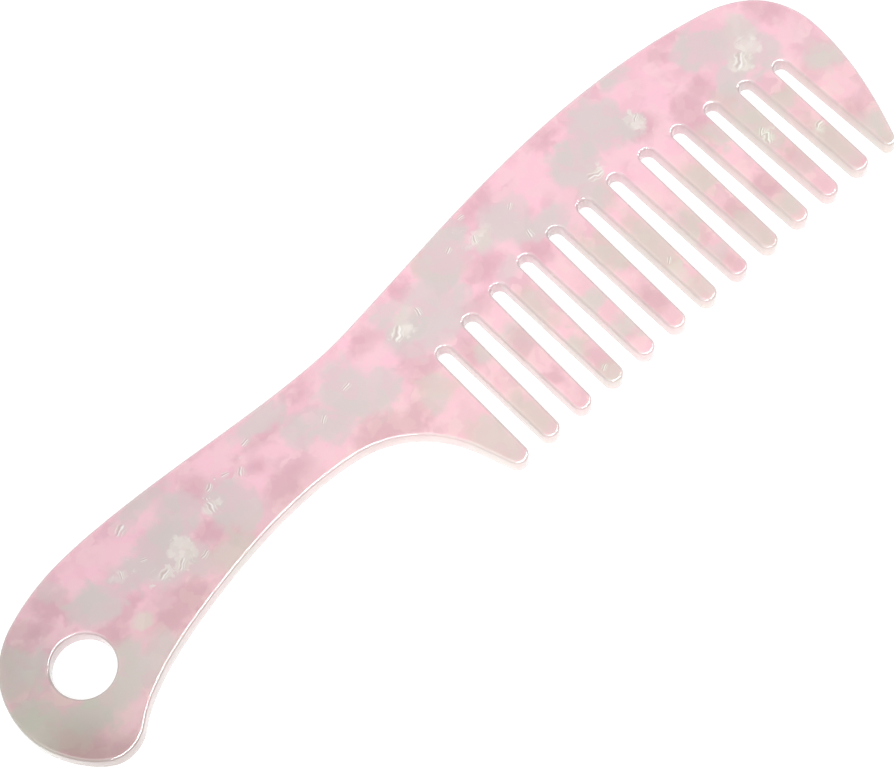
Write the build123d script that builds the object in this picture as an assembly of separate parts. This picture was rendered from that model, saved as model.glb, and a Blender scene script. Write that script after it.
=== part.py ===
from build123d import *
import math
import os
import random

# Driving dimensions, in millimetres. X runs along the row of teeth towards the free end,
# Y towards the spine and Z up through the sheet. The origin is the centre of the comb's
# box on its back face.
LENGTH = 193.2
WIDTH = 46.8
THICKNESS = 3.6
EDGE_RADIUS = 0.6

# Teeth and the slots between them.
SLOT_COUNT = 12
PITCH = 7.6
FIRST_SLOT_X = 1.85
ROOT_RADIUS = 1.5
TIP_RADIUS = 1.85
ROOT_CROWN = (44.5, 7.1)
ROOT_LINE_RADIUS = 215.0

# Hanging hole.
HOLE_RADIUS = 5.8
HOLE_CENTRE = (-81.75, 0.35)

# Outer edge, from the neck guard round the handle and along the spine to the free guard.
# Each station is a point and the way the edge runs there. Two tangent arcs join each pair.
OUTER_EDGE = [
    ((-8.45, -11.0), (-0.57, 0.82)),
    ((-14.7, -5.0), (-0.85, 0.52)),
    ((-31.0, -1.65), (-1, 0)),
    ((-61.0, -5.95), (-0.97, -0.25)),
    ((-76.0, -11.5), (-0.88, -0.475)),
    ((-85.6, -16.65), (-1, 0)),
    ((-91.9, -13.0), (-0.65, 0.76)),
    ((-LENGTH / 2, -1.3), (0, 1)),
    ((-91.75, 11.0), (0.715, 0.70)),
    ((-80.3, 16.7), (0.965, 0.26)),
    ((-64.5, 18.4), (1, 0)),
    ((-41.0, 17.35), (1, -0.078)),
    ((-18.0, 16.25), (1, 0)),
    ((4.0, 18.6), (1, 0.148)),
    ((28.0, 21.9), (1, 0.11)),
    ((52.0, WIDTH / 2), (1, 0)),
    ((76.0, 21.6), (1, -0.165)),
    ((90.3, 17.2), (0.83, -0.56)),
    ((LENGTH / 2, 4.6), (0, -1)),
    ((94.55, -10.0), (-0.26, -0.966)),
]

# Tooth tips all stand on one line. Each guard's outer edge leaves its tip at a slant.
TIP_LINE_Y = -WIDTH / 2
NECK_TIP_RADIUS = 1.95
NECK_TIP_X = -1.75
NECK_EDGE = (-0.36, 0.93)
FREE_TIP_RADIUS = 1.35
FREE_TIP_X = 88.9
FREE_EDGE = (0.39, 0.92)


# Chips of other acetate let into the pink sheet. Each entry is a chip's centre, its length
# and width, and how far its length is turned from X, in degrees.
CHIP_DEPTH = 1.2
CHIP_CORNERS = 8
CHIP_RAGGEDNESS = 0.16
CHIP_SEED = 7
CHIP_RIM = 0.3
SMALLEST_CHIP_AREA = 2.5
BACK_SHIFT = (1.6, -1.2)

PALE_CHIPS = [
    (84.4, 12.0, 10, 7.5, 50), (81.6, 7.4, 6, 4.5, 35), (-56.2, 4.4, 4.5, 3.4, 60), (71.6, 1.0, 5, 3, 80),
    (92.8, 3.6, 6, 3, 80), (46.8, 9.2, 6, 3, 50), (21.8, 13.4, 6, 3.4, 35), (1.6, 12.0, 6, 3, 20),
    (-20.6, 10.8, 5, 3.4, 60), (-89.2, 3.6, 5, 3, 60), (-69.0, -0.6, 4, 3, 40), (42.6, -15.6, 4, 4, 40),
]
GREY_CHIPS = [
    (-92.0, 8.5, 12, 7, 60), (-93.0, -2.5, 10, 6.5, 95), (-86.5, -8.0, 11, 5, -10), (-77.0, -6.2, 8, 6, 20),
    (-71.8, 6.8, 8, 7.5, 40), (-65.0, 8.0, 7, 5, 35), (-58.0, 7.2, 13, 7, 25), (-50.5, 12.2, 7, 5, 60),
    (-77.8, 14.6, 5, 4.5, 80), (-50.2, -1.2, 9, 4.5, 5), (-44.6, 6.2, 9, 7, 70), (-29.0, 14.2, 12, 4.2, -4),
    (-25.5, 7.8, 9, 7.5, 50), (-15.2, 8.6, 11, 8, 75), (-9.6, 3.6, 7, 5, 40), (-4.6, -3.2, 8, 5.5, 50),
    (-2.8, -17.6, 11, 7, 75), (5.2, 8.4, 14, 7, -8), (12.4, 14.8, 10, 8, 65), (17.8, 16.4, 7, 4.5, 40),
    (28.6, 13.6, 11, 8, 50), (32.2, 8.0, 9, 5.5, -15), (45.2, 13.6, 11, 8, 55), (42.6, 6.6, 7, 5, 60),
    (21.2, 5.4, 6.5, 4, 20), (53.2, 16.8, 12, 8.5, -25), (57.2, 12.6, 6, 5, 60), (61.2, 21.6, 5, 3, 10),
    (76.2, 15.2, 11, 9, 20), (77.2, 5.2, 8, 5.5, 65), (92.8, -1.6, 8, 5, -30), (88.0, -20.6, 6, 5, 70),
    (4.9, -18.6, 11, 7, 85), (6.4, -3.2, 5, 3.2, 75), (20.2, -3.0, 6.5, 5.5, 85), (19.6, -13.2, 5.5, 4, 80),
    (20.6, -22.0, 4, 5, 5), (28.0, -9.4, 5.5, 4, 5), (28.4, -16.4, 4.5, 4.2, 60), (36.2, -4.0, 9, 3.6, 100),
    (43.0, -7.4, 10, 6.5, 90), (43.0, -21.4, 6, 5.5, 30), (50.6, -9.4, 7, 6, 80), (50.4, -17.4, 5.5, 5, 60),
    (58.2, -5.4, 6.5, 5.5, 85), (58.2, -19.4, 10, 6.5, 85), (67.0, -0.4, 6, 4, 80), (65.8, -19.4, 5.5, 5.2, 20),
    (73.4, -4.2, 13, 6.5, 90), (73.8, -14.8, 4.5, 5, 30), (80.8, -3.4, 5.5, 5, 20), (80.8, -16.6, 14, 7, 88),
]
ROSE_CHIPS = [
    (-89.5, -12.6, 11, 5.5, -42), (-84.4, 11.4, 8, 4, -28), (-66.0, -3.2, 9, 4.5, -20), (-73.4, 0.8, 7, 4.5, 35),
    (-59.6, -2.4, 6, 4, 60), (-50.0, 5.4, 7, 4.5, 10), (-71.0, 14.6, 5, 3.5, 50), (-67.8, 11.2, 4, 3, 40),
    (-35.6, 2.6, 10, 5, 12), (-33.6, 11.2, 7, 2.6, -14), (-22.2, 14.4, 5, 3, 25), (-16.6, -1.8, 9, 5, -15),
    (-10.8, -4.6, 7, 3.6, -25), (-6.8, 13.0, 6, 4, -40), (-2.6, 4.4, 6.5, 4.5, 80), (-46.4, 12.6, 5, 3.4, 70),
    (4.2, 16.2, 5, 3.4, -15), (11.8, 4.4, 6, 3.4, -20), (18.6, 9.2, 6, 4, 30), (27.4, 5.2, 7, 2.8, 105),
    (27.6, 19.2, 6, 3.2, 40), (35.8, 11.4, 5, 3, 20), (43.8, 20.6, 5, 3, 70), (35.4, -16.6, 6, 5, 85),
    (13.2, -6.6, 6.5, 4.5, 80), (12.8, -20.8, 4, 3.6, 20), (57.8, 10.0, 5, 2.6, -10), (66.4, 7.4, 9, 4.6, 80),
    (72.0, 9.2, 6, 4.2, 50), (64.6, 18.4, 6, 3.4, 60), (73.8, 20.2, 6, 2.8, -10), (93.2, 11.4, 5, 3.2, -50),
    (89.2, -14.6, 7, 4, 70), (58.0, -12.2, 5, 4.6, 60), (65.6, -14.6, 4.6, 4.6, 30), (20.8, -18.0, 4.6, 3.6, 60),
    (73.2, -20.0, 5, 4, 60), (80.6, -8.2, 4, 4.4, 10), (50.8, -13.6, 3.6, 4.4, 20), (5.0, -9.6, 4, 3.4, 70),
]
CHIPS = {
    "pale_pearl_chips": PALE_CHIPS,
    "grey_pearl_chips": GREY_CHIPS,
    "dusky_rose_chips": ROSE_CHIPS,
}


def root_centre(slot):
    """Centre of a slot's rounded root. The roots lie on a long arc under the spine."""
    x = FIRST_SLOT_X + PITCH * slot
    drop = ROOT_LINE_RADIUS - math.sqrt(ROOT_LINE_RADIUS**2 - (x - ROOT_CROWN[0]) ** 2)
    return Vector(x, ROOT_CROWN[1] - drop - ROOT_RADIUS)


def tip_circle(tine):
    """Centre and radius of a tine's rounded tip. Tines 0 and 12 are the two guards."""
    if tine == 0:
        return Vector(NECK_TIP_X, TIP_LINE_Y + NECK_TIP_RADIUS), NECK_TIP_RADIUS
    if tine == SLOT_COUNT:
        return Vector(FREE_TIP_X, TIP_LINE_Y + FREE_TIP_RADIUS), FREE_TIP_RADIUS
    return Vector(FIRST_SLOT_X + PITCH * (tine - 0.5), TIP_LINE_Y + TIP_RADIUS), TIP_RADIUS


def slot_side(slot, tine):
    """The straight side that touches a slot's root circle and a tine's tip circle."""
    root = root_centre(slot)
    tip, tip_radius = tip_circle(tine)
    across = tip - root
    turn = math.acos((ROOT_RADIUS + tip_radius) / across.length)
    if tine == slot:
        turn = -turn
    normal = across.normalized().rotate(Axis.Z, math.degrees(turn))
    return root + normal * ROOT_RADIUS, tip - normal * tip_radius


def slot_edges(slot):
    """Both sides of a slot and the round root between them."""
    left_root, left_tip = slot_side(slot, slot)
    right_root, right_tip = slot_side(slot, slot + 1)
    top = root_centre(slot) + Vector(0, ROOT_RADIUS)
    return [
        Line(left_tip, left_root),
        ThreePointArc(left_root, top, right_root),
        Line(right_root, right_tip),
    ]


def tooth_tip(tine):
    """The round tip between two slots."""
    centre, radius = tip_circle(tine)
    return ThreePointArc(slot_side(tine - 1, tine)[1], centre - Vector(0, radius), slot_side(tine, tine)[1])


def guard_tip(tine, slot, edge_direction):
    """A guard's round tip, and the point where its outer edge starts."""
    centre, radius = tip_circle(tine)
    side = 1 if edge_direction.X > 0 else -1
    outer = centre + Vector(edge_direction.Y, -edge_direction.X) * side * radius
    inner = slot_side(slot, tine)[1]
    return outer, ThreePointArc(outer, centre - Vector(0, radius), inner)


def arc_pair(start, start_way, end, end_way):
    """Two tangent arcs that leave start and reach end along the given ways."""
    across = end - start
    both = start_way + end_way
    spread = 2 * (1 - start_way.dot(end_way))
    if spread < 1e-9:
        reach = across.dot(across) / (4 * across.dot(end_way))
    else:
        along = across.dot(both)
        reach = (math.sqrt(along**2 + 2 * spread * across.dot(across) / 2) - along) / spread
    join = (start + end + (start_way - end_way) * reach) * 0.5
    first = TangentArc(start, join, tangent=start_way)
    return [first, TangentArc(join, end, tangent=first % 1)]


def outer_edges(neck_start, free_end):
    """The long smooth edge between the two guards' tips."""
    stations = [(neck_start, NECK_EDGE), *OUTER_EDGE, (free_end, (-FREE_EDGE[0], -FREE_EDGE[1]))]
    edges = []
    for (start, start_way), (end, end_way) in zip(stations, stations[1:]):
        ways = Vector(*start_way).normalized(), Vector(*end_way).normalized()
        edges += arc_pair(Vector(*start), ways[0], Vector(*end), ways[1])
    return edges


def outline():
    """The comb's whole outer edge, with its teeth, as one closed wire."""
    neck_start, neck_tip = guard_tip(0, 0, Vector(*NECK_EDGE).normalized())
    free_end, free_tip = guard_tip(SLOT_COUNT, SLOT_COUNT - 1, Vector(*FREE_EDGE).normalized())
    edges = [neck_tip, free_tip, *outer_edges(neck_start, free_end)]
    for slot in range(SLOT_COUNT):
        edges += slot_edges(slot)
    for tine in range(1, SLOT_COUNT):
        edges.append(tooth_tip(tine))
    return Wire(edges)


def sheet_face():
    """The comb seen from above, with its hanging hole."""
    return make_face(outline()) - Pos(*HOLE_CENTRE) * Circle(HOLE_RADIUS)


def blank(sheet):
    """The whole comb before any chip is let in, with its edges rounded on both faces."""
    slab = extrude(sheet, THICKNESS)
    flat_faces = slab.faces().filter_by(Axis.Z)
    return fillet(flat_faces.edges(), EDGE_RADIUS)


def chip_face(x, y, length, width, turn, spread):
    """One chip's outline: a ragged many-cornered shape around an ellipse."""
    corners = []
    for corner in range(CHIP_CORNERS):
        angle = 2 * math.pi * (corner + spread.uniform(-0.25, 0.25)) / CHIP_CORNERS
        reach = 1 + spread.uniform(-CHIP_RAGGEDNESS, CHIP_RAGGEDNESS)
        along = reach * length / 2 * math.cos(angle)
        across = reach * width / 2 * math.sin(angle)
        corners.append((along, across))
    return Pos(x, y) * Rot(0, 0, turn) * make_face(Polyline(*corners, close=True))


def chip_layer(free, shift, spread):
    """Each acetate's chip outlines on one face of the sheet, kept inside its free area."""
    layer = {}
    for name, entries in CHIPS.items():
        pieces = []
        for x, y, *rest in entries:
            found = free & chip_face(x + shift[0], y + shift[1], *rest, spread)
            if found is None:
                continue
            pieces += [face for face in found.faces() if face.area > SMALLEST_CHIP_AREA]
            free -= found
        layer[name] = pieces
    return layer


def main():
    os.makedirs("parts", exist_ok=True)
    sheet = sheet_face()
    body = blank(sheet)
    free = offset(sheet, -EDGE_RADIUS - CHIP_RIM)
    layers = [(THICKNESS - CHIP_DEPTH, (0, 0)), (0, BACK_SHIFT)]
    chips = {name: [] for name in CHIPS}
    for base, shift in layers:
        spread = random.Random(CHIP_SEED + round(base))
        for name, faces in chip_layer(free, shift, spread).items():
            chips[name] += [extrude(Pos(0, 0, base) * face, CHIP_DEPTH) for face in faces]
    for name, solids in chips.items():
        body -= solids
        export_step(Compound(solids), f"parts/{name}.step")
        print(name, len(solids), "chips", round(sum(solid.volume for solid in solids), 1), "mm3")
    export_step(body, "parts/comb_body.step")
    print("comb", body.bounding_box().size, round(body.volume, 1), "mm3")


main()
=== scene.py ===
import math
import random

import bmesh
import bpy
from mathutils import Matrix, Vector
from mathutils.bvhtree import BVHTree
from mathutils.geometry import delaunay_2d_cdt
from mathutils.kdtree import KDTree


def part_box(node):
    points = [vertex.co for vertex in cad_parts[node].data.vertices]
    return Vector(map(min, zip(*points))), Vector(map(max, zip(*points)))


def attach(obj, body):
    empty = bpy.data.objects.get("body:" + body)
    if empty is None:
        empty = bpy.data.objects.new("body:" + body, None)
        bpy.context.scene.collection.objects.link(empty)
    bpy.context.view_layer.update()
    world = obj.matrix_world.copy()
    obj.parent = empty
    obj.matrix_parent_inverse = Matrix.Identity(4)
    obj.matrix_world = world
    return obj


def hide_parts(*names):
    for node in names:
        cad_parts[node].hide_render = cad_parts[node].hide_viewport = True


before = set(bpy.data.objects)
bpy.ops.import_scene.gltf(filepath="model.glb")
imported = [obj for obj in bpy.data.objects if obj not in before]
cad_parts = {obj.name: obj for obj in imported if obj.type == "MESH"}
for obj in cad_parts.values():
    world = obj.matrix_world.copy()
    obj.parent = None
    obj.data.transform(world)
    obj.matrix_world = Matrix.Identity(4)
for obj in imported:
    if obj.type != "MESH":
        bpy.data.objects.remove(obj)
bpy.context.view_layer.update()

MM = 0.001
LOWEST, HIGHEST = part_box("comb_body")
THICKNESS = HIGHEST.z - LOWEST.z

# The comb's mesh. The edge radius is the CAD one. SAME_WAY is in radians, and INSIDE_ONLY asks
# delaunay_2d_cdt for the triangles within the outline.
EDGE_RADIUS = 0.6 * MM
EDGE_STEPS = 6
WALL_STEPS = 4
LONGEST_STEP = 0.6 * MM
WIDEST_TURN = math.radians(6)
STRAIGHT_SIDE = 15 * MM
SAME_POINT = 0.001 * MM
SAME_WAY = 0.0005
CAP_SPACING = 0.6 * MM
CAP_MARGIN = 0.6 * CAP_SPACING
INSIDE_ONLY = 1
MESHING_ERROR = 1e-9

# How the chips colour the mesh around them. The chip depth is the CAD one.
CHIP_DEPTH = 1.2 * MM
CHIP_TAPER = 2.0
CHIP_RIM = 0.95 * MM
CHIP_REACH = 3.0 * MM
RIM_SAMPLE = 0.2 * MM
FACE_FLATNESS = EDGE_RADIUS / 10
CHIP_SEED = 11
CHIP_TINTS = 4000
CHIP_NODES = {"grey": "grey_pearl_chips", "rose": "dusky_rose_chips", "pale": "pale_pearl_chips"}

# Pearl flakes near the front face, with painted crinkled glints: centre and length in millimetres, turn in
# degrees.
GLINTS = [
    (-61.5, 15.0, 2.6, 20), (-66.5, 8.5, 1.6, 60), (-62.0, 8.0, 1.4, -30), (-61.0, 3.5, 2.4, 10),
    (-57.5, 2.8, 2.6, 40), (-53.5, 1.5, 2.0, 15),
    (-47.0, 7.5, 2.6, 80), (-45.0, 10.5, 1.8, 30), (-41.5, 10.5, 1.6, -20), (-39.0, 9.0, 2.0, 45),
    (-35.0, 12.7, 1.8, 10), (-22.0, 6.5, 1.8, 30), (-15.0, 8.5, 2.0, 15), (-1.5, 10.0, 3.4, 35),
    (4.0, 10.8, 2.0, 80), (16.0, 16.0, 1.6, 20), (21.0, 14.5, 1.8, 60), (22.0, 19.5, 1.6, 0),
    (30.0, 15.0, 1.6, 35), (29.0, 8.5, 2.0, 75), (45.5, 9.0, 3.4, -12), (59.0, 12.5, 2.0, 40),
    (81.0, 8.0, 4.0, 45), (73.5, -7.0, 3.0, 50), (73.4, -5.4, 2.2, 40), (82.0, -11.5, 2.0, 15),
    (20.5, -20.0, 1.6, 30), (43.2, -12.6, 1.6, 40),
]
GLINT_REACH = 3.6 * MM

# Soft clouds of colour deeper in the sheet: centre, half width and half height in millimetres.
CLOUDS = {
    "grey": [
        (-88.5, 6, 2.5, 3.5), (-86, -7.5, 4.5, 3), (-80, -7.5, 5, 2.5), (-75, -3, 3, 3), (-74, -7, 3.5, 3),
        (-69, -6.5, 3.5, 2.5), (-73.5, 8, 3.5, 3.5), (-66, 8, 3, 2.5), (-61, 7, 3, 3), (-57, 8.5, 4, 4),
        (-52, 10, 4, 4.5), (-59, 3, 5, 2.5), (-55, 2, 3, 3), (-56, 16.8, 5, 1.5), (-45, 7, 3.5, 4.5),
        (-43, 3, 3, 3), (-31, 14.5, 5, 2.5), (-26.5, 8.5, 2.5, 3.5), (-22, 5.5, 3.5, 4),
        (-16, 8, 5, 4.5), (-14, 3.5, 4, 3), (-10.5, 5, 3, 3), (-15, 13, 3, 2), (-1, 15, 2.5, 2.5),
        (1, 8, 5, 4.5), (8, 11, 5, 4), (6, 6, 6, 2.5), (17, 18, 4, 2.5), (22, 13, 3.5, 2.5),
        (27, 14, 4, 4), (29, 10, 3, 3.5), (34, 8, 4, 2.5), (44, 13, 4, 4), (48, 16, 3, 3),
        (52, 17, 5, 5), (55, 14, 3, 3.5), (62, 21.5, 3, 1.5), (77, 16.5, 4, 2.5), (80, 13, 5, 4),
        (84, 12, 4, 4), (85, 7, 3, 4), (82, 7, 4, 3), (77, 7, 3, 3), (93, -1.5, 4, 2.5),
        (89, -18, 3, 3), (13.5, -6, 2, 2.5), (28, -9, 2.2, 2), (28.5, -17, 1.8, 2),
    ],
    "olive": [
        (-92, 8, 3.5, 5), (-94, -3, 2.5, 5), (-90, -8, 3, 3), (-50, -1, 4, 2.5), (13, 16, 5, 4),
        (43, 7, 3, 4), (73, 3, 3, 3), (-3, -3, 2.5, 3), (-3.5, -17, 3, 5), (5.5, -18, 2.5, 5),
        (20, -3, 2, 4), (20, -13, 1.5, 2.5), (20.8, -21, 2.2, 2.5), (36.5, -5, 2, 4), (33.8, 1, 1.5, 3),
        (43.5, -8, 2.5, 6), (43.2, -21, 2.2, 2.5), (51, -11, 2, 3), (58.4, -5, 2.4, 3), (58.4, -19, 2.4, 4),
        (66, -19, 2.4, 3), (66, 0.5, 1.8, 2), (73.5, -3, 2.6, 7), (81.2, -16, 2.6, 7), (81.5, -3, 2, 1.5),
        (88, -22, 2.5, 2),
    ],
    "rose": [
        (-91, -13, 3.5, 3), (-86, -15.5, 4, 2), (-88, 9.5, 3, 2.5), (-84, 10.5, 2.5, 1), (-76, 1, 3, 3),
        (-79, 12.5, 2.5, 3), (-60, -3, 3, 2), (-65, -3, 3, 2), (-50, 4, 3, 3), (-47, 3, 2, 2.5),
        (-48, 12.5, 3, 3), (-70, 3, 3, 2),
        (-35, 2, 4, 2.5), (-31, 2, 3, 2), (-36, 8, 1.5, 1.5), (-10, -4, 4, 2), (-16, -2, 4, 2.5),
        (-7, 13, 3.5, 2), (-3, 4, 3, 3.5), (-33, 11.5, 4, 1), (-22, 13.5, 3, 2), (4, 16.5, 2, 1.5),
        (11.5, 4.5, 2.5, 1.5), (18, 9, 3, 1.5), (28.5, 5.5, 2, 3), (25, 19.5, 4, 1.8), (45, 21, 3, 1.5),
        (5.5, -2, 2.5, 2.5), (35.5, -16, 2.2, 3), (59, 10.5, 2, 1.5), (67, 7.5, 3, 3), (66, 3.5, 2.2, 2.5),
        (72, 9, 2, 2), (58.5, -13.5, 2, 1.5), (66, -13, 2.4, 2), (74, -13, 2.4, 3), (93, 11.5, 2, 3),
        (92, 15, 2, 2), (70, 19, 2, 1.5), (51, -20, 2.2, 2.5), (89, -14, 2.5, 1.8), (13, -15, 2, 2),
    ],
    "bloom": [
        (-84, 13, 3, 2), (-72, 13, 5, 3.5), (-65, 12, 5, 3), (-57, 13.5, 4, 2.5), (-67, 3, 4, 2),
        (-66, -5, 3, 1.5), (-83, -12, 6, 2.5), (-56, -2, 4, 1.5), (-80, 7, 2.5, 3), (-40, 13, 6, 3),
        (-38, 5, 3, 3), (-32, 8, 4, 2.5), (-24, 1, 4, 3), (-20, 13, 3, 3), (-8, 9, 3.5, 6),
        (-10, 15, 6, 2), (-11, -1, 2, 2), (-6, -6, 5, 2.5), (-1, -8, 1.2, 5), (3, 14.2, 4.5, 3),
        (8.5, 17, 2.5, 3), (14, 8, 4, 2.5), (23, 10, 3.5, 3), (35, 14, 4, 5), (40, 19, 5, 3),
        (46, 20, 3, 2), (33, 20, 2.5, 1.5), (48, 8, 2.5, 3), (4.5, -9, 2, 4), (13, 1, 2, 4),
        (12.8, -15, 2.2, 5), (20.5, -9, 2, 2), (28, -2, 2.2, 4), (27.8, -21, 2.2, 2), (35.5, -11, 2.2, 3),
        (43.5, 1, 2.2, 2), (51, 8, 5, 2), (51, 0, 2.4, 5), (58.4, 3, 2.4, 5), (63, 10, 4, 5),
        (66, 14, 4, 3), (68, 18, 4, 3), (60, 19, 3, 3), (87, 16.5, 3, 2), (90, 7, 4, 4),
        (87, 2, 3, 3), (90, -8, 3.5, 4), (66, -7, 2.4, 4), (81, -8, 2.2, 1.5),
    ],
    "pearl": [
        (-56, 5.6, 1.9, 1.6), (-57.5, 2.8, 2.2, 0.9), (-61, 3.8, 1.6, 0.9), (-66.5, 8.6, 1.2, 1),
        (-47, 7.2, 1.6, 1.2), (-1, 9.8, 2.2, 0.9), (21, 14.6, 2, 1), (58.5, 12.3, 1, 2),
        (81, 7.4, 2.4, 1.6), (84, 9.5, 2.2, 2), (73.5, -7, 1.6, 1.6), (45.5, 9.5, 1.6, 0.8),
        (81.5, -12, 1, 1),
    ],
}
CLOUD_REACH = 3.0
CLOUD_ATTRIBUTES = {"clouds": ("grey", "olive", "rose"), "lights": ("bloom", "pearl")}

# Each acetate's colour: the facets that vary it (their size and channel), the values between
# which it turns from its first tone to its second, and the tones as 0 to 255 screen colours.
TONES = {
    "pink": ("broad", 0, 0.35, 0.65, (247, 203, 215), (240, 197, 209)),
    "grey": ("broad", 1, 0.4, 0.65, (227, 212, 212), (222, 212, 209)),
    "olive": ("broad", 1, 0.4, 0.65, (229, 207, 203), (222, 206, 198)),
    "rose": ("fine", 2, 0.4, 0.7, (229, 184, 195), (234, 192, 200)),
    "pale": ("fine", 1, 0.3, 0.6, (236, 228, 220), (228, 224, 212)),
    "bloom": ("fine", 2, 0.3, 0.7, (255, 208, 222), (253, 213, 222)),
}
# A third tone in some of the fine facets: their channel and the screen colour.
FLECKS = {"pink": (0, (249, 210, 218)), "grey": (1, (230, 208, 211))}
FLECK_FADE = (0.5, 0.8)

# Noise: scale per millimetre, and detail.
RAGGED_NOISE = (0.7, 2.5)
CRINKLE_NOISE = (0.6, 1.0)
WAVY_NOISE = (0.55, 2.0)
POLISH_NOISE = (0.8, 3.0)

# Facets: size in millimetres, seed, and how soft their borders are. Noise bends their borders,
# at a scale and reach that go by the facets' size.
BEND_SCALE = 1.3
BEND_DETAIL = 1.0
BEND_REACH = 0.9
BROAD_FACETS = (6.0, 1, 0.5)
FINE_FACETS = (2.6, 2, 0.3)
BORDER_FACETS = (3.6, 3, 0.5)
CRUMPLED_FACETS = (1.1, 4, 0.1)
SEED_SHIFT = (31.7, 17.3, 5.1)

# Layers of marbling from the deepest up, and how strongly each one shows.
CLOUD_LAYERS = {"bloom": 0.9, "rose": 0.75, "olive": 0.65, "grey": 0.8}
CHIP_LAYERS = {"rose": 0.6, "grey": 0.8, "pale": 0.6}
TINT_SPREAD = 0.5

# How far in millimetres the facets, and something finer, move the borders of each kind of layer,
# and the distances across which a border fades in.
CLOUD_BORDER = {"facets": 2.4, "ragged": 3.0, "from": -1.5, "to": 1.1}
CHIP_BORDER = {"facets": 1.8, "ragged": 1.6, "from": -0.6, "to": 0.8}
PEARL_BORDER = {"facets": 1.4, "ragged": 1.2, "from": -0.5, "to": 0.6}
# Painted sheen of the pearl patches: the least and the most that a facet shows.
PEARL_SHINE = (0.3, 0.8)
PEARL_TONE = (245, 239, 232)

# Strokes of a pearl flake, painted glints in white and painted shade in the darker one: place
# across it, half width, strength and screen colour. A stroke is at full strength over the core's
# share of its half width.
FLAKE_GLINTS_AND_SHADE = (
    (-0.02, 0.14, 0.9, (255, 252, 250)),
    (0.22, 0.16, 0.45, (196, 172, 170)),
    (0.5, 0.1, 0.6, (255, 250, 246)),
    (-0.42, 0.09, 0.55, (250, 244, 240)),
)
FLAKE_CORE = 0.2
FLAKE_PATCH = (222, 214, 205)
FLAKE_PATCH_STRENGTH = 0.35
FLAKE_CRINKLE = 0.9
# The squared distance from a flake's middle, in half lengths, over which it fades.
FLAKE_FADE = (1.2, 0.3)
WHOLLY_NEAR = 0.99

# The acetate's shader. The subsurface radius is for red, green and blue.
ROUGHNESS = (0.09, 0.15)
ACETATE_FINISH = {
    "IOR": 1.48,
    "Coat Weight": 0.8,
    "Coat Roughness": 0.07,
    "Subsurface Weight": 0.7,
    "Subsurface Radius": (1.0, 0.93, 0.95),
    "Subsurface Scale": 1.5 * MM,
}
BUMP_STRENGTH = 0.25
BUMP_HEIGHT = 0.05 * MM

# Camera: it looks down along the comb at the view's centre point on the front face.
VIEW_CENTRE = Vector((-1.808 * MM, -3.251 * MM, THICKNESS))
VIEW_DISTANCE = 500.9 * MM
VIEW_ELEVATION = math.radians(65.6)
VIEW_HEADING = math.radians(34.7)
VIEW_ROLL = math.radians(-8.0)
SENSOR_WIDTH = 36.0
LENS = 114.8

# Floor and light. The strip light shows only in reflections.
WHITE = (1, 1, 1, 1)
FLOOR_GAP = 0.02 * MM
FLOOR_HALF = 3.0
FLOOR_COLOUR = (0.5, 0.5, 0.5, 1)
FLOOR_ROUGHNESS = 0.9
FLOOR_GLOW = 0.62
SKY_STRENGTH = 0.9
SOFT_BOX = {"place": (-0.55, -0.4, 0.9), "target": (0, 0, 0), "size": (1.4, 1.0), "power": 7.5}
STRIP = {"place": (0.08, -0.21, 0.27), "target": (0.02, 0, 0), "size": (0.8, 0.06), "power": 7.0}

# What the studio light does to a colour: the share that the stock sends back, and the gloss on top.
STOCK_SHARE = 0.87
STOCK_GLOSS = 0.035

# Slow changes over the sheet: the tint, and where along x or y in millimetres it starts and is full.
# The heel's tint goes by the distance from the heel.
# Painted shade: the handle is darker than the head.
HANDLE_PAINTED_SHADE = (0.86, 0.86, 0.86, 1)
HANDLE_FADE = (0.0, -70.0)
END_TINT = (0.77, 0.84, 0.78, 1)
END_FADE = (-70.0, -95.0)
TEETH_TINT = (0.985, 1.035, 0.975, 1)
TEETH_FADE = (5.0, -2.0)
HEEL = (-92.0, -13.0, 2.0)
HEEL_TINT = (0.86, 0.82, 0.82, 1)
HEEL_FADE = (12.0, 3.0)

# Painted shade on the rounded edge and painted glow on the wall, as screen colours. The glow grows toward
# the foot.
# The fades are in the rim attribute, which is 0 on the flat faces and 1 on the wall.
RIM_FADE_IN = (0.1, 0.4)
RIM_FADE_OUT = (1.0, 0.9)
WALL_FADE_IN = (0.85, 1.0)
RIM_PAINTED_SHADE = 0.6
RIM_SHADE_TONE = (208, 195, 195)
WALL_PAINTED_GLOW = 0.55
WALL_TOP = (THICKNESS - EDGE_RADIUS) / MM
WALL_FOOT = EDGE_RADIUS / MM
WALL_TOP_GLOW_TONE = (230, 214, 213)
WALL_FOOT_GLOW_TONE = (242, 231, 229)


# ---- The comb's outline, from the CAD body ----

def section_loops(node):
    """The closed loops where a CAD node meets the plane halfway through the sheet."""
    mesh = bmesh.new()
    mesh.from_mesh(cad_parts[node].data)
    bmesh.ops.remove_doubles(mesh, verts=mesh.verts, dist=SAME_POINT)
    everything = mesh.verts[:] + mesh.edges[:] + mesh.faces[:]
    middle = (0, 0, LOWEST.z + THICKNESS / 2)
    cut = bmesh.ops.bisect_plane(mesh, geom=everything, plane_co=middle, plane_no=(0, 0, 1))
    edges = {e for e in cut["geom_cut"] if isinstance(e, bmesh.types.BMEdge)}
    loops = []
    while edges:
        edge = edges.pop()
        start, here = edge.verts
        loop = [start.co.xy]
        while here is not start:
            loop.append(here.co.xy)
            edge = next(e for e in here.link_edges if e in edges)
            edges.discard(edge)
            here = edge.other_vert(here)
        loops.append(loop)
    mesh.free()
    return loops


def turn_between(a, b):
    """Signed angle from direction a to direction b."""
    return math.atan2(a.x * b.y - a.y * b.x, a.dot(b))


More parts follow.
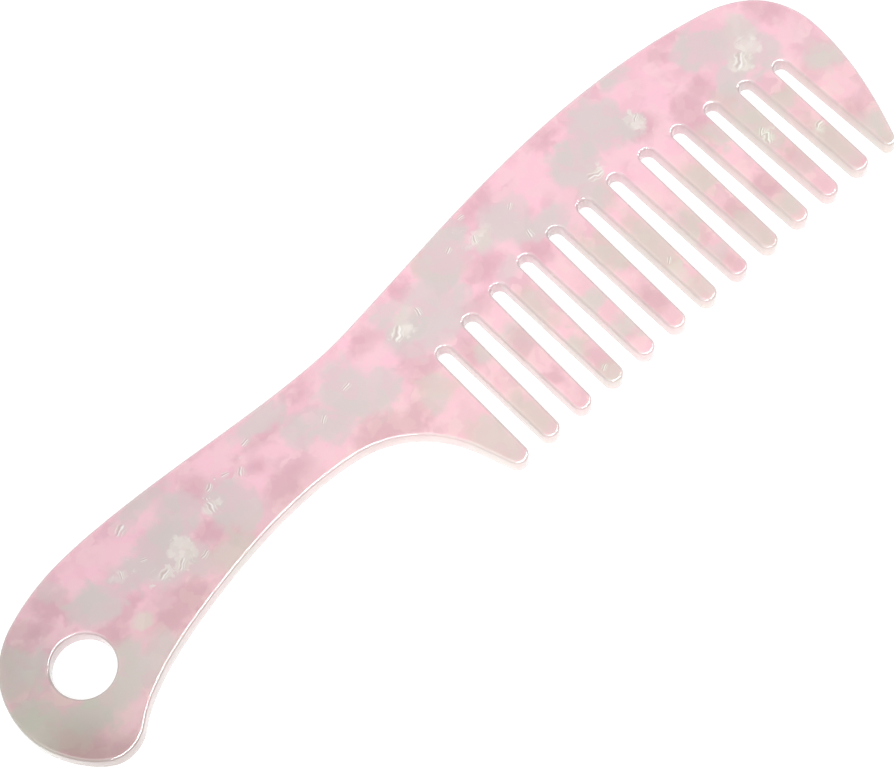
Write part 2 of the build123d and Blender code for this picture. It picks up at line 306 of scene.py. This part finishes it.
def corners_only(loop):
    """The loop without points that lie on a straight run or on their neighbour."""
    kept = []
    count = len(loop)
    for i, point in enumerate(loop):
        if (point - loop[i - 1]).length < SAME_POINT:
            continue
        before = point - loop[i - 1]
        after = loop[(i + 1) % count] - point
        if abs(turn_between(before, after)) > SAME_WAY:
            kept.append(point)
    return kept


def edge_ways(points):
    """The outline's direction at each point, if each chord spans one arc or straight side."""
    count = len(points)
    chords = [points[(i + 1) % count] - points[i] for i in range(count)]
    straight = [i for i in range(count) if chords[i].length > STRAIGHT_SIDE]
    first = straight[0] if straight else 0
    way = math.atan2(chords[first].y, chords[first].x)
    if not straight:
        way += turn_between(chords[first], chords[first - 1]) / 2
    ways = [0.0] * count
    for step in range(count):
        i = (first + step) % count
        chord_way = math.atan2(chords[i].y, chords[i].x)
        if chords[i].length > STRAIGHT_SIDE:
            way = chord_way
        ways[i] = way
        way = chord_way + math.remainder(chord_way - way, math.tau)
    return ways


def smooth_loop(loop):
    """Evenly spaced (point, outward normal) pairs along the arcs that the loop's chords span."""
    points = corners_only(loop)
    area = sum(a.x * b.y - b.x * a.y for a, b in zip(points, points[1:] + points[:1]))
    if area < 0:
        points.reverse()
    ways = edge_ways(points)
    samples = []
    for i, start in enumerate(points):
        chord = points[(i + 1) % len(points)] - start
        half_turn = math.remainder(math.atan2(chord.y, chord.x) - ways[i], math.tau)
        for_length = math.ceil(chord.length / LONGEST_STEP)
        for_turn = math.ceil(abs(2 * half_turn) / WIDEST_TURN)
        steps = max(1, for_length, for_turn)
        for step in range(steps):
            share = step / steps
            turned = 2 * half_turn * share
            if abs(half_turn) < SAME_WAY:
                point = start + chord * share
            else:
                reach = chord.length * math.sin(turned / 2) / math.sin(half_turn)
                along = ways[i] + turned / 2
                point = start + reach * Vector((math.cos(along), math.sin(along)))
            way = ways[i] + turned
            samples.append((point, Vector((math.sin(way), -math.cos(way)))))
    return samples


def comb_loops():
    """The outer outline and the hanging hole, with normals that point out of the material."""
    hole, outer = sorted((smooth_loop(loop) for loop in section_loops("comb_body")), key=len)
    return [outer, [(point, -normal) for point, normal in reversed(hole)]]


# ---- The comb's mesh ----

def edge_profile():
    """(inset, height, outward share, upward share) for each ring from the front face to the back."""
    rings = []
    for step in range(EDGE_STEPS + 1):
        angle = math.pi / 2 * (1 - step / EDGE_STEPS)
        inset = EDGE_RADIUS * (1 - math.cos(angle))
        height = THICKNESS - EDGE_RADIUS * (1 - math.sin(angle))
        rings.append((inset, height, math.cos(angle), math.sin(angle)))
    wall = THICKNESS - 2 * EDGE_RADIUS
    for step in range(1, WALL_STEPS):
        rings.append((0.0, THICKNESS - EDGE_RADIUS - wall * step / WALL_STEPS, 1.0, 0.0))
    front = rings[: EDGE_STEPS + 1]
    rings += [(inset, THICKNESS - height, out, -up) for inset, height, out, up in reversed(front)]
    return rings


def near_loops(loops):
    """A search tree over the loops' points, with their normals."""
    samples = [sample for loop in loops for sample in loop]
    tree = KDTree(len(samples))
    for i, (point, _) in enumerate(samples):
        tree.insert(point.to_3d(), i)
    tree.balance()
    return tree, [normal for _, normal in samples]


def depth_inside(tree, normals, point):
    """How far a point lies inside the outline, and the outline's normal there."""
    found, i, distance = tree.find(point.to_3d())
    inside = (found.xy - point).dot(normals[i])
    return math.copysign(distance, inside), normals[i]


def cap_points(loops):
    """Points on a triangle grid that fill the flat face."""
    tree, normals = near_loops(loops)
    row_height = CAP_SPACING * math.sqrt(3) / 2
    points = []
    for row in range(int((HIGHEST.y - LOWEST.y) / row_height) + 1):
        y = LOWEST.y + row * row_height
        shift = CAP_SPACING / 2 * (row % 2)
        for column in range(int((HIGHEST.x - LOWEST.x) / CAP_SPACING) + 1):
            point = Vector((LOWEST.x + shift + column * CAP_SPACING, y))
            depth, _ = depth_inside(tree, normals, point)
            if depth > EDGE_RADIUS + CAP_MARGIN:
                points.append(point)
    return points


def cap_triangles(loops):
    """The flat face's points, with the edge loops' points first, and its triangles."""
    rim = [[point - normal * EDGE_RADIUS for point, normal in loop] for loop in loops]
    points = [point for loop in rim for point in loop] + cap_points(loops)
    edges = []
    start = 0
    for loop in rim:
        count = len(loop)
        edges += [(start + i, start + (i + 1) % count) for i in range(count)]
        start += count
    hole_rim = range(len(rim[0]), start)
    _, _, faces, origins, _, _ = delaunay_2d_cdt(points, edges, [], INSIDE_ONLY, MESHING_ERROR)
    triangles = []
    for face in faces:
        corners = [origins[i][0] for i in face]
        if not all(corner in hole_rim for corner in corners):
            triangles.append(corners)
    return points, triangles


def edge_faces(loops, levels, ring):
    """The quads between each ring of the edge and the next one."""
    faces = []
    start = 0
    for loop in loops:
        count = len(loop)
        for level in range(levels):
            for i in range(count):
                here = level * ring + start + i
                ahead = level * ring + start + (i + 1) % count
                faces.append((here, here + ring, ahead + ring, ahead))
        start += count
    return faces


def comb_mesh(loops):
    """The whole comb as one closed mesh with exact normals on its rounded edges."""
    profile = edge_profile()
    samples = [sample for loop in loops for sample in loop]
    vertices, normals = [], []
    for inset, height, out, up in profile:
        for point, normal in samples:
            place = point - normal * inset
            vertices.append(Vector((place.x, place.y, LOWEST.z + height)))
            normals.append(Vector((normal.x * out, normal.y * out, up)))
    ring = len(samples)
    levels = len(profile) - 1
    faces = edge_faces(loops, levels, ring)
    points, triangles = cap_triangles(loops)
    for height, up, rim_start in ((THICKNESS, 1, 0), (0, -1, ring * levels)):
        grid_start = len(vertices) - ring
        for point in points[ring:]:
            vertices.append(Vector((point.x, point.y, LOWEST.z + height)))
            normals.append(Vector((0, 0, up)))
        for triangle in triangles:
            place = [rim_start + i if i < ring else grid_start + i for i in triangle]
            faces.append(place if up > 0 else place[::-1])
    mesh = bpy.data.meshes.new("marbled_comb")
    mesh.from_pydata(vertices, [], faces)
    mesh.validate()
    mesh.shade_smooth()
    mesh.normals_split_custom_set_from_vertices(normals)
    return mesh


# ---- Where the chips of other acetate are ----

def chip_outlines(node, height):
    """The chips' flat faces at one height: a search tree, chip numbers and their outline's edges."""
    mesh = bmesh.new()
    mesh.from_mesh(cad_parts[node].data)
    bmesh.ops.remove_doubles(mesh, verts=mesh.verts, dist=SAME_POINT)
    others = [f for f in mesh.faces if any(abs(v.co.z - height) > FACE_FLATNESS for v in f.verts)]
    bmesh.ops.delete(mesh, geom=others, context="FACES")
    mesh.verts.index_update()
    chip_of = {}
    for number, face in enumerate(mesh.faces):
        if face in chip_of:
            continue
        waiting = [face]
        while waiting:
            here = waiting.pop()
            if here not in chip_of:
                chip_of[here] = number
                waiting += [f for e in here.edges for f in e.link_faces if f not in chip_of]
    faces = list(mesh.faces)
    places = [v.co.xy.to_3d() for v in mesh.verts]
    search = BVHTree.FromPolygons(places, [[v.index for v in f.verts] for f in faces])
    outline = []
    for edge in mesh.edges:
        if len(edge.link_faces) == 1:
            a, b = (v.co.xy for v in edge.verts)
            outline.append((a, b, chip_of[edge.link_faces[0]]))
    numbers = [chip_of[f] for f in faces]
    mesh.free()
    return search, numbers, outline


def rim_tree(outline, tree, normals):
    """A search tree over the chips' own edges, without the sides cut along the comb's rim."""
    samples = []
    for a, b, chip in outline:
        if abs(depth_inside(tree, normals, (a + b) / 2)[0]) < CHIP_RIM:
            continue
        steps = max(1, math.ceil((b - a).length / RIM_SAMPLE))
        samples += [(a.lerp(b, (step + 0.5) / steps), chip) for step in range(steps)]
    found = KDTree(len(samples))
    for i, (point, _) in enumerate(samples):
        found.insert(point.to_3d(), i)
    found.balance()
    return found, [chip for _, chip in samples]


def chip_reader(node, height, tree, normals):
    """A function from a point on the flat face to its distance inside a chip and the chip's number."""
    search, numbers, outline = chip_outlines(node, height)
    edge_tree, edge_chips = rim_tree(outline, tree, normals)
    above = Vector((0, 0, 1))

    def read(point):
        _, i, distance = edge_tree.find(point.to_3d())
        hit = search.ray_cast(point.to_3d() + above, -above)[2]
        if hit is None:
            return -distance, edge_chips[i]
        return distance, numbers[hit]

    return read


def settled_places(mesh, tree, normals):
    """Each vertex's place and height, with those on the rim moved in to where the chips are whole."""
    settled = []
    for vertex in mesh.vertices:
        place = vertex.co.xy
        depth, normal = depth_inside(tree, normals, place)
        if depth < CHIP_RIM + SAME_POINT:
            place = place - normal * (CHIP_RIM + SAME_POINT - depth)
        settled.append((place, vertex.co.z - LOWEST.z))
    return settled


def colour_by_chips(mesh, loops):
    """Stores, for each kind of chip, each vertex's distance inside a chip in mm and the chip's tint."""
    tree, normals = near_loops(loops)
    settled = settled_places(mesh, tree, normals)
    for kind, node in CHIP_NODES.items():
        spread = random.Random(CHIP_SEED)
        tints = [spread.random() for _ in range(CHIP_TINTS)]
        front = chip_reader(node, HIGHEST.z, tree, normals)
        back = chip_reader(node, LOWEST.z, tree, normals)
        values = []
        for place, height in settled:
            best = (-CHIP_REACH, 0)
            for read, below in ((front, THICKNESS - height), (back, height)):
                fade = CHIP_TAPER * max(0.0, below - CHIP_DEPTH)
                if fade < CHIP_REACH:
                    reach, chip = read(place)
                    best = max(best, (min(reach, CHIP_REACH) - fade, chip))
            values += [best[0] / MM, tints[best[1]], 0.0]
        layer = mesh.attributes.new(kind, "FLOAT_VECTOR", "POINT")
        layer.data.foreach_set("vector", values)


def cloud_reach(kind, x, y):
    """How far in mm a point lies inside the nearest cloud of a kind, negative outside it."""
    best = -CLOUD_REACH
    for centre_x, centre_y, half_x, half_y in CLOUDS[kind]:
        if abs(x - centre_x) > half_x + CLOUD_REACH or abs(y - centre_y) > half_y + CLOUD_REACH:
            continue
        share = math.hypot((x - centre_x) / half_x, (y - centre_y) / half_y)
        best = max(best, (1 - share) * min(half_x, half_y))
    return best


def colour_by_clouds(mesh):
    """Stores each vertex's distance inside the clouds of each kind, in mm."""
    for name, kinds in CLOUD_ATTRIBUTES.items():
        unused = [0.0] * (3 - len(kinds))
        values = []
        for vertex in mesh.vertices:
            x, y = vertex.co.x / MM, vertex.co.y / MM
            values += [cloud_reach(kind, x, y) for kind in kinds] + unused
        layer = mesh.attributes.new(name, "FLOAT_VECTOR", "POINT")
        layer.data.foreach_set("vector", values)


def mark_rim(mesh, ring):
    """Stores how far each vertex is round the edge: 0 on the flat faces, 1 on the wall."""
    profile = edge_profile()
    shares = [0.0] * len(mesh.vertices)
    for level, (_, _, out, up) in enumerate(profile):
        share = math.atan2(out, abs(up)) / (math.pi / 2)
        shares[level * ring : (level + 1) * ring] = [share] * ring
    layer = mesh.attributes.new("rim", "FLOAT", "POINT")
    layer.data.foreach_set("value", shares)


def place_glints(mesh):
    """Stores each front vertex's place along and across the pearl flake near it, in half lengths, and 1."""
    centres = KDTree(len(GLINTS))
    for i, (x, y, _, _) in enumerate(GLINTS):
        centres.insert((x * MM, y * MM, 0), i)
    centres.balance()
    values = []
    for vertex in mesh.vertices:
        centre, i, distance = centres.find((vertex.co.x, vertex.co.y, 0))
        if distance > GLINT_REACH or vertex.co.z < LOWEST.z + THICKNESS / 2:
            values += [0.0, 0.0, 0.0]
            continue
        _, _, length, turn = GLINTS[i]
        half = length / 2
        offset = (vertex.co.xy - centre.xy) / MM
        offset.rotate(Matrix.Rotation(-math.radians(turn), 2))
        values += [offset.x / half, offset.y / half, 1.0]
    layer = mesh.attributes.new("glint", "FLOAT_VECTOR", "POINT")
    layer.data.foreach_set("vector", values)


# ---- Materials ----

class Nodes:
    """Short ways to add and join shader nodes."""

    def __init__(self, owner):
        owner.use_nodes = True
        self.tree = owner.node_tree
        self.tree.nodes.clear()

    def add(self, kind, settings=None, **inputs):
        """A node with these settings and inputs; an underscore stands for a space in an input's name."""
        node = self.tree.nodes.new(kind)
        for name, value in (settings or {}).items():
            setattr(node, name, value)
        for name, value in inputs.items():
            self.set(node, name.replace("_", " "), value)
        return node

    def set(self, node, name, value):
        """Links or sets an input, given by its name or its number."""
        socket = node.inputs[name]
        if isinstance(value, bpy.types.NodeSocket):
            self.tree.links.new(value, socket)
        else:
            socket.default_value = value

    def math(self, operation, *values):
        """The result of a math node."""
        node = self.tree.nodes.new("ShaderNodeMath")
        node.operation = operation
        for i, value in enumerate(values):
            self.set(node, i, value)
        return node.outputs[0]

    def vector(self, operation, a, b):
        """The result of a vector math node."""
        node = self.tree.nodes.new("ShaderNodeVectorMath")
        node.operation = operation
        self.set(node, 0, a)
        self.set(node, "Scale" if operation == "SCALE" else 1, b)
        return node.outputs["Value" if operation in ("DOT_PRODUCT", "DISTANCE") else "Vector"]

    def noise(self, vector, scale, detail, output="Fac"):
        """One output of a noise texture."""
        return self.add("ShaderNodeTexNoise", Vector=vector, Scale=scale, Detail=detail).outputs[output]

    def attribute(self, name, output="Vector"):
        """What the mesh stores under this name."""
        return self.add("ShaderNodeAttribute", {"attribute_name": name}).outputs[output]

    def split(self, vector):
        """The x, y and z of a vector."""
        return self.add("ShaderNodeSeparateXYZ", Vector=vector).outputs

    def step(self, value, low, high):
        """0 below low, 1 above high, smooth between."""
        node = self.add("ShaderNodeMapRange", {"interpolation_type": "SMOOTHSTEP"}, Value=value)
        node.inputs["From Min"].default_value = low
        node.inputs["From Max"].default_value = high
        return node.outputs["Result"]

    def mix(self, factor, a, b, blend="MIX"):
        """Colour a where the factor is 0 and b where it is 1. Inputs 6 and 7 are the colours."""
        node = self.tree.nodes.new("ShaderNodeMix")
        node.data_type = "RGBA"
        node.blend_type = blend
        for i, value in ((0, factor), (6, a), (7, b)):
            self.set(node, i, value)
        return node.outputs[2]

    def centred(self, value):
        """A 0 to 1 value moved to lie around 0."""
        return self.math("SUBTRACT", value, 0.5)

    def moved(self, value, by, amount):
        """The value plus by times amount."""
        return self.math("MULTIPLY_ADD", by, amount, value)

    def finish(self, shader, kind="ShaderNodeOutputMaterial"):
        """Joins the shader to the tree's output."""
        output = self.tree.nodes.new(kind)
        self.tree.links.new(shader.outputs[0], output.inputs["Surface"])


def stock(red, green, blue):
    """The acetate colour that looks like these 0 to 255 screen values under the studio light."""
    channels = [channel / 255 for channel in (red, green, blue)]
    seen = [c / 12.92 if c <= 0.04045 else ((c + 0.055) / 1.055) ** 2.4 for c in channels]
    return (*[(c - STOCK_GLOSS) * STOCK_SHARE for c in seen], 1.0)


def facets(n, place, size, seed, softness):
    """Three random values for each facet of about this size in mm, with soft borders."""
    bent = n.noise(place, BEND_SCALE / size, BEND_DETAIL, "Color")
    bent = n.vector("SUBTRACT", bent, (0.5, 0.5, 0.5))
    bent = n.vector("SCALE", bent, size * BEND_REACH)
    shift = tuple(seed * along for along in SEED_SHIFT)
    shifted = n.vector("ADD", n.vector("ADD", place, bent), shift)
    cells = n.add("ShaderNodeTexVoronoi", {"feature": "SMOOTH_F1"}, Vector=shifted, Scale=1 / size)
    n.set(cells, "Smoothness", softness)
    return n.add("ShaderNodeSeparateColor", Color=cells.outputs["Color"]).outputs


def stock_tones(n, place):
    """Each acetate's own colour, varied from facet to facet."""
    fields = {"broad": facets(n, place, *BROAD_FACETS), "fine": facets(n, place, *FINE_FACETS)}
    tones = {}
    for kind, (field, channel, low, high, first, second) in TONES.items():
        share = n.step(fields[field][channel], low, high)
        tones[kind] = n.mix(share, stock(*first), stock(*second))
    for kind, (channel, fleck) in FLECKS.items():
        share = n.step(fields["fine"][channel], *FLECK_FADE)
        tones[kind] = n.mix(share, tones[kind], stock(*fleck))
    return tones


def inside_border(n, reach, shape, ragged, border):
    """1 well inside a layer's patch and 0 outside it, with a torn border."""
    reach = n.moved(reach, n.centred(shape), border["facets"])
    reach = n.moved(reach, ragged, border["ragged"])
    return n.step(reach, border["from"], border["to"])


def marbled_colour(n, place):
    """The pink stock with soft clouds in it, and chips of the other kinds nearer the surface."""
    tones = stock_tones(n, place)
    colour = tones["pink"]
    shapes = facets(n, place, *BORDER_FACETS)
    ragged = n.centred(n.noise(place, *RAGGED_NOISE))
    reaches = {}
    for name, kinds in CLOUD_ATTRIBUTES.items():
        reaches.update(zip(kinds, n.split(n.attribute(name))))
    for i, (kind, strength) in enumerate(CLOUD_LAYERS.items()):
        inside = inside_border(n, reaches[kind], shapes[i % 3], ragged, CLOUD_BORDER)
        colour = n.mix(n.math("MULTIPLY", inside, strength), colour, tones[kind])
    for i, (kind, strength) in enumerate(CHIP_LAYERS.items()):
        reach, tint, _ = n.split(n.attribute(kind))
        inside = inside_border(n, reach, shapes[i], ragged, CHIP_BORDER)
        shown = n.math("MULTIPLY_ADD", tint, TINT_SPREAD, strength - TINT_SPREAD)
        colour = n.mix(n.math("MULTIPLY", inside, shown), colour, tones[kind])
    return pearl_patches_and_painted_sheen(n, place, reaches["pearl"], shapes[1], colour)


def pearl_patches_and_painted_sheen(n, place, reach, shape, colour):
    """Crumpled patches of pearl; how much each facet shows is a painted sheen, random from facet to facet.
    """
    crumpled = facets(n, place, *CRUMPLED_FACETS)
    inside = inside_border(n, reach, shape, n.centred(crumpled[0]), PEARL_BORDER)
    dimmest, brightest = PEARL_SHINE
    shine = n.math("MULTIPLY_ADD", crumpled[1], brightest - dimmest, dimmest)
    return n.mix(n.math("MULTIPLY", inside, shine), colour, stock(*PEARL_TONE))


def tinted(n, colour, amount, tint):
    """The colour multiplied by a tint where amount is 1."""
    return n.mix(amount, colour, n.mix(1.0, colour, tint, "MULTIPLY"))


def sheet_tints_and_painted_shade(n, place, colour):
    """Painted shade darkens the sheet toward the handle; it is also darker and greener at the
    handle's end, darker and redder at the heel, and greener in the teeth.
    """
    x, y, _ = n.split(place)
    # Painted shade: darker toward the handle.
    colour = tinted(n, colour, n.step(x, *HANDLE_FADE), HANDLE_PAINTED_SHADE)
    colour = tinted(n, colour, n.step(x, *END_FADE), END_TINT)
    colour = tinted(n, colour, n.step(y, *TEETH_FADE), TEETH_TINT)
    return tinted(n, colour, n.step(n.vector("DISTANCE", place, HEEL), *HEEL_FADE), HEEL_TINT)


def pearl_flakes_and_painted_glints(n, place, colour):
    """Crinkled white strokes of pearl as painted glints, each beside faint painted shade, in a slightly
    greener patch.
    """
    along, across, near = n.split(n.attribute("glint"))
    here = n.math("GREATER_THAN", near, WHOLLY_NEAR)
    spread = n.math("ADD", n.math("MULTIPLY", along, along), n.math("MULTIPLY", across, across))
    fade = n.math("MULTIPLY", n.step(spread, *FLAKE_FADE), here)
    colour = n.mix(n.math("MULTIPLY", fade, FLAKE_PATCH_STRENGTH), colour, stock(*FLAKE_PATCH))
    crinkle = n.centred(n.noise(place, *CRINKLE_NOISE))
    line = n.moved(across, crinkle, FLAKE_CRINKLE)
    for middle, width, strength, tone in FLAKE_GLINTS_AND_SHADE:
        away = n.math("ABSOLUTE", n.math("SUBTRACT", line, middle))
        shown = n.math("MULTIPLY", fade, strength)
        stroke = n.math("MULTIPLY", n.step(away, width, width * FLAKE_CORE), shown)
        # Painted glints and painted shade along the flake's crinkles.
        colour = n.mix(stroke, colour, stock(*tone))
    return colour


def edge_painted_shade_and_glow(n, place, colour):
    """Painted shade greys the rounded edge, and painted glow pales the wall toward the back."""
    rim = n.attribute("rim", "Fac")
    painted_edge_shade = n.math("MULTIPLY", n.step(rim, *RIM_FADE_IN), n.step(rim, *RIM_FADE_OUT))
    # Painted shade: a greyer band round the edge.
    colour = n.mix(n.math("MULTIPLY", painted_edge_shade, RIM_PAINTED_SHADE), colour, stock(*RIM_SHADE_TONE))
    # Painted glow: the wall pales from its top to its foot, as if lit through the sheet from the table.
    lowness = n.step(n.split(place)[2], WALL_TOP, WALL_FOOT)
    wall = n.mix(lowness, stock(*WALL_TOP_GLOW_TONE), stock(*WALL_FOOT_GLOW_TONE))
    return n.mix(n.math("MULTIPLY", n.step(rim, *WALL_FADE_IN), WALL_PAINTED_GLOW), colour, wall)


def acetate():
    """Polished marbled acetate: pink stock with grey, rose and pearl chips and fine pearl flakes.
    The flakes' glints, the pearl sheen, the edge's shade, the wall's glow and the darker handle are
    painted.
    """
    material = bpy.data.materials.new("marbled_acetate")
    n = Nodes(material)
    place = n.vector("SCALE", n.add("ShaderNodeTexCoord").outputs["Object"], 1 / MM)
    colour = edge_painted_shade_and_glow(n, place, pearl_flakes_and_painted_glints(n, place, marbled_colour(n, place)))
    colour = sheet_tints_and_painted_shade(n, place, colour)
    wavy = n.noise(place, *WAVY_NOISE)
    bump = n.add("ShaderNodeBump", Strength=BUMP_STRENGTH, Distance=BUMP_HEIGHT, Height=wavy)
    shader = n.add("ShaderNodeBsdfPrincipled", Base_Color=colour, Normal=bump.outputs[0])
    polish = n.noise(place, *POLISH_NOISE)
    glossiest, dullest = ROUGHNESS
    n.set(shader, "Roughness", n.math("MULTIPLY_ADD", polish, dullest - glossiest, glossiest))
    for name, value in ACETATE_FINISH.items():
        n.set(shader, name, value)
    n.finish(shader)
    return material


# ---- Stage, light and camera ----

def make_floor():
    """A white light table: its own glow keeps the comb's shadow faint."""
    height = LOWEST.z - FLOOR_GAP
    around = ((-1, -1), (1, -1), (1, 1), (-1, 1))
    corners = [(x * FLOOR_HALF, y * FLOOR_HALF, height) for x, y in around]
    mesh = bpy.data.meshes.new("floor")
    mesh.from_pydata(corners, [], [(0, 1, 2, 3)])
    material = bpy.data.materials.new("white_table")
    n = Nodes(material)
    shader = n.add("ShaderNodeBsdfPrincipled", Base_Color=FLOOR_COLOUR, Roughness=FLOOR_ROUGHNESS)
    n.set(shader, "Specular IOR Level", 0.0)
    n.set(shader, "Emission Color", WHITE)
    n.set(shader, "Emission Strength", FLOOR_GLOW)
    n.finish(shader)
    mesh.materials.append(material)
    floor = bpy.data.objects.new("floor", mesh)
    bpy.context.scene.collection.objects.link(floor)


def make_world():
    """An even white sky."""
    world = bpy.data.worlds.new("studio")
    n = Nodes(world)
    background = n.add("ShaderNodeBackground", Color=WHITE, Strength=SKY_STRENGTH)
    n.finish(background, "ShaderNodeOutputWorld")
    bpy.context.scene.world = world


def area_light(name, place, target, size, power):
    """A rectangular soft box at place that faces target."""
    data = bpy.data.lights.new(name, "AREA")
    data.shape = "RECTANGLE"
    data.size, data.size_y = size
    data.energy = power
    light = bpy.data.objects.new(name, data)
    light.location = place
    light.rotation_euler = (Vector(target) - Vector(place)).to_track_quat("-Z", "Y").to_euler()
    bpy.context.scene.collection.objects.link(light)
    return light


def make_lights():
    """A wide soft box, and a strip on the teeth's side for the thin bright line along the edges."""
    area_light("soft_box", **SOFT_BOX)
    strip = area_light("strip", **STRIP)
    strip.visible_diffuse = False


def make_camera():
    """The camera at the photo's viewing angle, rolled a little about its line of sight."""
    flat = math.cos(VIEW_ELEVATION)
    across, along = math.sin(VIEW_HEADING) * flat, math.cos(VIEW_HEADING) * flat
    forward = Vector((across, along, -math.sin(VIEW_ELEVATION)))
    level = forward.cross(Vector((0, 0, 1))).normalized()
    upright = level.cross(forward)
    right = level * math.cos(VIEW_ROLL) + upright * math.sin(VIEW_ROLL)
    up = right.cross(forward)
    data = bpy.data.cameras.new("camera")
    data.sensor_fit = "HORIZONTAL"
    data.sensor_width = SENSOR_WIDTH
    data.lens = LENS
    data.clip_start = VIEW_DISTANCE / 100
    data.clip_end = VIEW_DISTANCE * 100
    camera = bpy.data.objects.new("camera", data)
    turn = Matrix((right, up, -forward)).transposed()
    camera.matrix_world = Matrix.Translation(VIEW_CENTRE - forward * VIEW_DISTANCE) @ turn.to_4x4()
    bpy.context.scene.collection.objects.link(camera)
    bpy.context.scene.camera = camera


def make_comb():
    """The marbled comb, which stands for the CAD body and its chips."""
    loops = comb_loops()
    mesh = comb_mesh(loops)
    colour_by_chips(mesh, loops)
    colour_by_clouds(mesh)
    mark_rim(mesh, sum(len(loop) for loop in loops))
    place_glints(mesh)
    comb = bpy.data.objects.new("marbled_comb", mesh)
    comb.data.materials.append(acetate())
    bpy.context.scene.collection.objects.link(comb)
    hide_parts("comb_body", *CHIP_NODES.values())
    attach(comb, "root")


make_camera()
make_comb()
make_floor()
make_world()
make_lights()
bpy.context.scene.view_settings.view_transform = "Standard"
